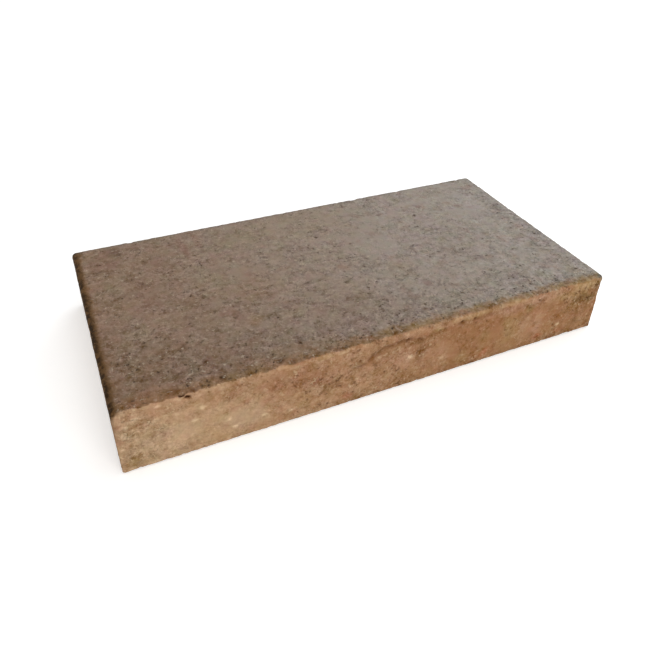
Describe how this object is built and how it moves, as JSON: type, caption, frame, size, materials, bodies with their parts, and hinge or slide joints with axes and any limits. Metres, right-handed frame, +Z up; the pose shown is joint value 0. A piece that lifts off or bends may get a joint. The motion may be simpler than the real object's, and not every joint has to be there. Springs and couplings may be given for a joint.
{
  "type": "refractory firebrick",
  "caption": "Flat rectangular fireclay brick with rounded arrises, laid as hot-face lining or floor in ovens, stoves and fireplaces.",
  "frame": {"origin": "centre of the lower bed face, on the surface that the brick lies on", "axes": "+X along the brick's length from one header face to the other, +Y across its width from one stretcher face to the other, +Z up from the lower bed face to the upper one"},
  "size_m": [0.22, 0.11, 0.03],
  "materials": {
    "fireclay": "matte"
  },
  "bodies": {
    "root": {"firebrick": "fireclay"}
  },
  "joints": []
}
